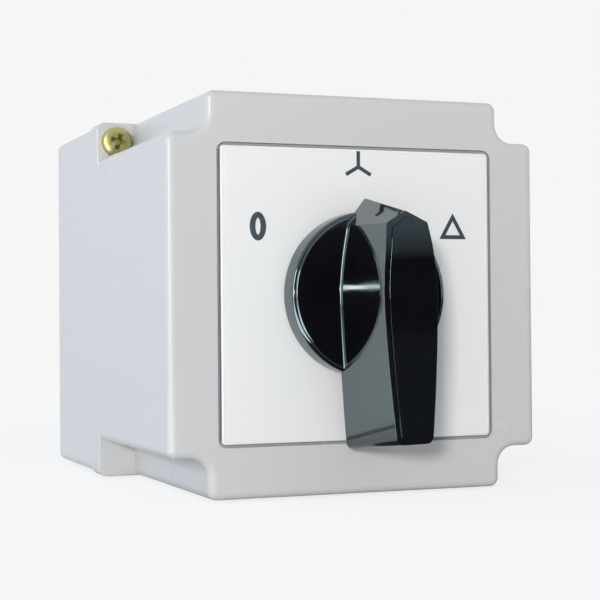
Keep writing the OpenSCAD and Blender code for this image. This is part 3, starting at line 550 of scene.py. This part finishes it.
def lever_side(tip, shoulder, shoulder_hw, bulge, grip, grip_hw, corner):
    """Right side of the lever's outline, from the grip's end up to the tip."""
    def half_width(y, reach, end):
        return bulge - (bulge - end) * (abs(y) / reach) ** 1.6
    side = [(grip_hw - corner + corner * cos(a), corner - grip + corner * sin(a))
            for a in [-pi / 2 + k * pi / 16 for k in range(9)]]
    side += [(half_width(y, grip - corner, grip_hw), y)
             for y in [corner - grip + (grip - corner) * k / 20 for k in range(1, 21)]]
    side += [(half_width(y, shoulder, shoulder_hw), y) for y in [shoulder * k / 14 for k in range(1, 15)]]
    return side + [(0, tip)]


def lever_outline(inset=0.0, base=0.0):
    """The lever's outline at its front, or as far towards its base as base says, from 0 to 1."""
    front = lever_side(*[size - inset for size in LEVER_FRONT])
    back = lever_side(*[size - inset for size in LEVER_BASE])
    side = [(xf + (xb - xf) * base, yf + (yb - yf) * base) for (xf, yf), (xb, yb) in zip(front, back)]
    return side + [(-x, y) for x, y in side[-2::-1]]


def tip_drop(y):
    """How far the lever's front face curves back towards its tip."""
    return 1.4 * max(0.0, (y - 6.5) / 9.2) ** 1.6


def lever_block(sections, curved=False):
    """A block through outlines of equal length. Its front is made of strips from side to side."""
    bm = bmesh.new()
    rings = []
    for outline, z in sections:
        bend = curved and (outline, z) == sections[-1]
        verts = [bm.verts.new((x, y, z - (tip_drop(y) if bend else 0.0))) for x, y in outline]
        rings.append((verts, [bm.edges.new(pair) for pair in zip(verts, verts[1:] + verts[:1])]))
    for (low_verts, low), (high_verts, high) in zip(rings, rings[1:]):
        bmesh.ops.bridge_loops(bm, edges=low + high)
    bm.faces.new(rings[0][0])
    front = rings[-1][0]
    tip = len(front) // 2
    for k in range(tip - 1):
        bm.faces.new([front[k], front[k + 1], front[-k - 2], front[-k - 1]])
    bm.faces.new([front[tip - 1], front[tip], front[tip + 1]])
    bmesh.ops.recalc_face_normals(bm, faces=bm.faces)
    return bm


def is_ridge(edge):
    """The edges at the lever's tip and shoulders that run from front to back."""
    run = edge.verts[1].co - edge.verts[0].co
    return abs(run.z) > 10 and edge.calc_face_angle(0) > 0.3


def front_rim(bm):
    """The edges between a lever piece's front and its sides."""
    bm.normal_update()
    rim = []
    for edge in bm.edges:
        tilt = sorted(face.normal.z for face in edge.link_faces)
        if len(tilt) == 2 and tilt[1] > 0.8 and tilt[0] < 0.5:
            rim.append(edge)
    return rim


def lever_foot(radius):
    """The fillet between the lever and the disc's face."""
    low = DISC_FACE - 0.2
    share_low = 0.93
    share_at_disc = 0.923
    sections = [(lever_outline(-radius, share_low), low)]
    for k in range(6):
        a = k * pi / 10
        height = radius * (1 - cos(a))
        share = share_at_disc - height / (LEVER_FACE - LEVER_BACK)
        sections.append((lever_outline(radius * (sin(a) - 1), share), DISC_FACE + height))
    return carved(lever_block(sections), pin(DISC_R - 0.7, low - 1, DISC_FACE + 2, 96), how="INTERSECT")


def make_handle():
    profile = [(0, DISC_BACK), (DISC_R - 0.3, DISC_BACK), (DISC_R, DISC_BACK + 0.3)]
    profile += [(DISC_R, DISC_FACE - 1.0), (DISC_R - 0.12, DISC_FACE - 0.72)]
    profile += [(DISC_R - 0.35, DISC_FACE - 0.52)]
    profile += [(DISC_R - 1.1 + 0.45 * cos(a), DISC_FACE - 0.45 + 0.45 * sin(a))
                for a in [k * pi / 16 for k in range(9)]]
    disc = turned(profile + [(0, DISC_FACE)], 128)
    lever = lever_block([(lever_outline(base=1.0), LEVER_BACK), (lever_outline(), RIM_FACE)], curved=True)
    rounded(lever, [e for e in lever.edges if is_ridge(e)], 0.25, 3)
    rounded(lever, front_rim(lever), 0.5, 5)
    handle = joined(disc, moved(lever, spin=LEVER_LEAN), moved(lever_foot(0.5), spin=LEVER_LEAN))
    hollow = turned([(7.5, DISC_BACK - 1), (DISC_R - 2, DISC_BACK - 1), (DISC_R - 2, DISC_FACE - 2),
                     (7.5, DISC_FACE - 2)], 96)
    socket = square_block(3.08, DISC_BACK - 1, SOCKET_END, 0)
    inside = lever_outline(CAP_RIM)
    pocket = lever_block([(inside, LEVER_FACE - CAP_T), (inside, LEVER_FACE + 1)])
    handle = carved(handle, hollow, socket, pin(2.05, 118, 122), pin(4.0, SCREW_SEAT, LEVER_FACE),
                    moved(pocket, spin=LEVER_LEAN))
    finished("handle_knob", handle, "rotor", "black_gloss", ["handle"], crease=28)
    outline = lever_outline(CAP_RIM + 0.06)
    cap = lever_block([(outline, LEVER_FACE - CAP_T), (outline, LEVER_FACE)], curved=True)
    rounded(cap, front_rim(cap), 0.3, 1)
    finished("front_cap", moved(cap, spin=LEVER_LEAN), "rotor", "black_gloss", ["handle_cap"], crease=28)


make_cover()
make_base()
make_cover_screws()
make_legend_plate()
make_handle()

slot_of = {part["node"]: part["material_slot"] for part in frame["record"]["subparts"]}
for node, piece in frame["nodes"].items():
    piece.data.materials.clear()
    piece.data.materials.append(FINISHES[slot_of[node]])


# Floor, light and camera

BACKDROP = rgb(246, 246, 246)


def make_floor():
    bm = bmesh.new()
    bmesh.ops.create_grid(bm, x_segments=8, y_segments=8, size=3.0)
    floor = as_object("studio_floor", bm)
    floor.location = (0, 0, cad_size[0][2] - 0.0005)
    f = Finish("studio_floor")
    far = f.node("VectorMath", {"operation": "LENGTH"}, {0: f.place()}, out="Value")
    shade = f.node("BsdfDiffuse", {}, {"Color": rgb(244, 244, 244)})
    glow = f.mixed(f.spread(far, 0.1, 0.4), rgb(263, 263, 263), BACKDROP)
    white = f.node("Emission", {}, {"Color": glow, "Strength": 1.0})
    leftward = f.spread(f.apart("Y") - f.apart("X") * 1.5, -0.1, 0.1)
    mirror = f.mixed(leftward, rgb(58, 60, 64), rgb(228, 232, 238))
    mirrored = f.node("Emission", {}, {"Color": mirror, "Strength": 1.0})
    blend = f.ray("Camera") * f.spread(far, 0.1, 0.4, 0.72, 1.0)
    seen = f.node("MixShader", {}, {0: blend, 1: shade, 2: white})
    mix = f.node("MixShader", {}, {0: f.ray("Glossy"), 1: seen, 2: mirrored})
    f.node("OutputMaterial", {}, {"Surface": mix})
    floor.data.materials.append(f.material)


def make_world():
    world = bpy.data.worlds.new("studio")
    world.use_nodes = True
    bpy.context.scene.world = world
    f = Finish("studio", world.node_tree)
    way = f.node("TexCoord", out="Generated")
    sides = f.spread(f.node("SeparateXYZ", {}, {0: way}, out="Y"), -0.8, -0.4)
    above = f.spread(f.node("SeparateXYZ", {}, {0: way}, out="Z"), 0.06, 0.8)
    studio = f.mixed(sides, f.mixed(above, rgb(34, 34, 40), rgb(225, 230, 236)), rgb(238, 241, 245))
    soft = f.node("Background", {}, {"Color": rgb(224, 229, 236), "Strength": 0.57})
    shown = f.node("Background", {}, {"Color": studio, "Strength": 1.0})
    white = f.node("Background", {}, {"Color": BACKDROP, "Strength": 1.0})
    mix = f.node("MixShader", {}, {0: f.ray("Glossy"), 1: soft, 2: shown})
    mix = f.node("MixShader", {}, {0: f.ray("Camera") + f.ray("Transmission"), 1: mix, 2: white})
    f.node("OutputWorld", {}, {"Surface": mix})


def make_lamp(name, place, aim, size, power, colour=(1, 1, 1), mirrored=True, lit=True):
    light = bpy.data.lights.new(name, "AREA")
    light.shape = "RECTANGLE"
    light.size, light.size_y = size
    light.energy = power
    light.color = colour
    lamp = bpy.data.objects.new(name, light)
    lamp.location = place
    lamp.rotation_euler = (Vector(aim) - Vector(place)).to_track_quat("-Z", "Y").to_euler()
    lamp.visible_glossy = mirrored
    lamp.visible_diffuse = lit
    lamp.visible_camera = False
    bpy.context.scene.collection.objects.link(lamp)


def make_camera():
    lens = bpy.data.cameras.new("photo_camera")
    lens.sensor_fit = "HORIZONTAL"
    lens.sensor_width = 36.0
    lens.lens = 92.388
    lens.clip_start = 0.01
    camera = bpy.data.objects.new("photo_camera", lens)
    right = Vector((0.9327, -0.360559, -0.008012))
    up = Vector((0.00315, -0.01407, 0.9999))
    ahead = Vector((0.360629, 0.93263, 0.011992))
    turn = Matrix((right, up, -ahead)).transposed().to_4x4()
    camera.matrix_world = Matrix.Translation((-0.125752, -0.392513, -0.004835)) @ turn
    bpy.context.scene.collection.objects.link(camera)
    bpy.context.scene.camera = camera


make_floor()
make_world()
make_lamp("key", (-0.52, -0.99, 0.15), (0, -0.11, 0), (0.13, 0.1), 5.3, mirrored=False)
make_lamp("glint", (-0.485, -0.985, 0.042), (0, -0.11, 0), (0.12, 0.015), 0.3, (1.0, 0.8, 0.76))
make_lamp("edge_strip", (-1.09, -0.62, 0.02), (0, -0.11, 0), (0.2, 1.0), 12, lit=False)
make_lamp("low_strip", (-0.35, -0.285, -0.039), (-0.3468, -0.2835, 0.961), (0.14, 0.68), 1.4, lit=False)
make_lamp("cool_side", (-1.05, 0.62, 0.05), (0, -0.05, 0), (0.9, 0.9), 9.0, (0.64, 0.79, 1.0),
          mirrored=False)
make_camera()
bpy.context.scene.view_settings.view_transform = "Standard"
